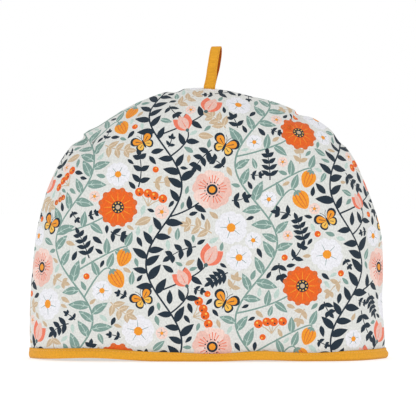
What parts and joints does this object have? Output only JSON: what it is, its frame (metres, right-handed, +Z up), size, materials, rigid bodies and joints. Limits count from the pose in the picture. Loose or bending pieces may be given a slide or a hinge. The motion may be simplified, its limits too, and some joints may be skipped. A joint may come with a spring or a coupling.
{
  "type": "tea cosy",
  "caption": "Padded cotton tea cosy with a domed front and back, a bound hem open below and a folded hanging loop on the crest.",
  "frame": {"origin": "on the surface the cosy stands on, under the middle of the hem and in the plane of the seam", "axes": "+X along the hem to the right as seen from the front, +Y from the front panel to the back panel, +Z up"},
  "size_m": [0.3503, 0.1062, 0.3035],
  "materials": {
    "printed_cotton": "matt printed plain-weave cotton over wadding",
    "binding_cotton": "matt plain-weave cotton strip, amber"
  },
  "bodies": {
    "root": {"front_panel": "printed_cotton", "back_panel": "printed_cotton", "hem_binding": "binding_cotton", "hanging_loop": "binding_cotton"}
  },
  "joints": []
}
